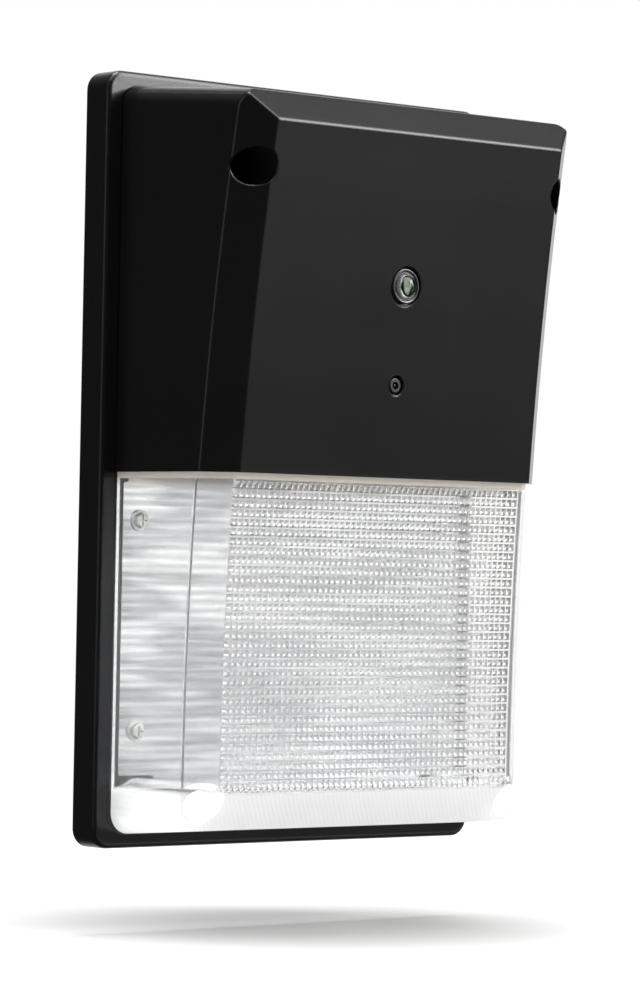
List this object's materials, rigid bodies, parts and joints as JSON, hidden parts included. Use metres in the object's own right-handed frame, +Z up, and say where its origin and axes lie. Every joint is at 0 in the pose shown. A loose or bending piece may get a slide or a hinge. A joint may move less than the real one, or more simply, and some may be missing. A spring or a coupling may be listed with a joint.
{
  "type": "wall pack light",
  "caption": "Outdoor wall pack light with a die-cast back plate, a swept black housing with a dusk sensor, and a clear prismatic lens below.",
  "frame": {"origin": "centre of the back plate's rear face, on the wall", "axes": "+X to the right seen from the front, +Y into the wall, +Z up"},
  "size_m": [0.209, 0.0924, 0.32],
  "materials": {
    "powder_coat": "fine satin black powder coat on die-cast aluminium",
    "clear_polycarbonate": "clear injection-moulded polycarbonate with prisms inside",
    "specular_aluminium": "bright specular sheet",
    "plain_aluminium": "mill finish",
    "solder_mask": "white solder mask on a metal-core board",
    "led_phosphor": "silicone with phosphor",
    "driver_plastic": "fine moulded texture",
    "terminal_plastic": "natural nylon",
    "screw_brass": "plain brass",
    "screw_steel": "stainless, plain",
    "spring_steel": "spring steel, zinc plated",
    "earth_green": "green plated earth screw",
    "foam_rubber": "closed-cell rubber",
    "pale_silicone": "cream silicone",
    "black_nylon": "black moulded nylon",
    "dome_acrylic": "clear acrylic",
    "sensor_face": "pale grey-green cell face"
  },
  "bodies": {
    "wall_unit": {"back_plate": "powder_coat", "wall_gasket": "foam_rubber", "cover_gasket": "foam_rubber", "reflector_pan": "specular_aluminium", "reflector_screws": "screw_steel", "led_bracket": "plain_aluminium", "bracket_screws": "screw_steel", "led_board": "solder_mask", "led_chips": "led_phosphor", "led_board_screws": "screw_steel", "driver_case": "driver_plastic", "driver_lid": "driver_plastic", "driver_screws": "screw_steel", "terminal_block": "terminal_plastic", "terminal_clamp_screws": "screw_brass", "terminal_screws": "screw_steel", "earth_screw": "earth_green"},
    "front_cover": {"housing": "powder_coat", "lens": "clear_polycarbonate", "lens_seal": "pale_silicone", "lens_clips": "spring_steel", "clip_screws": "screw_steel", "cover_screws": "screw_steel", "cover_screw_washers": "foam_rubber", "screw_retainers": "spring_steel", "photocell_body": "black_nylon", "photocell_bezel": "black_nylon", "photocell_dome": "dome_acrylic", "photocell_sensor": "sensor_face", "photocell_gasket": "foam_rubber", "photocell_nut": "black_nylon", "centre_screw": "screw_steel"}
  },
  "joints": [
    {"name": "cover_lift_off", "type": "slide", "parent": "wall_unit", "child": "front_cover", "axis": [0, -1, 0], "range_m": [0, 0.15]}
  ]
}
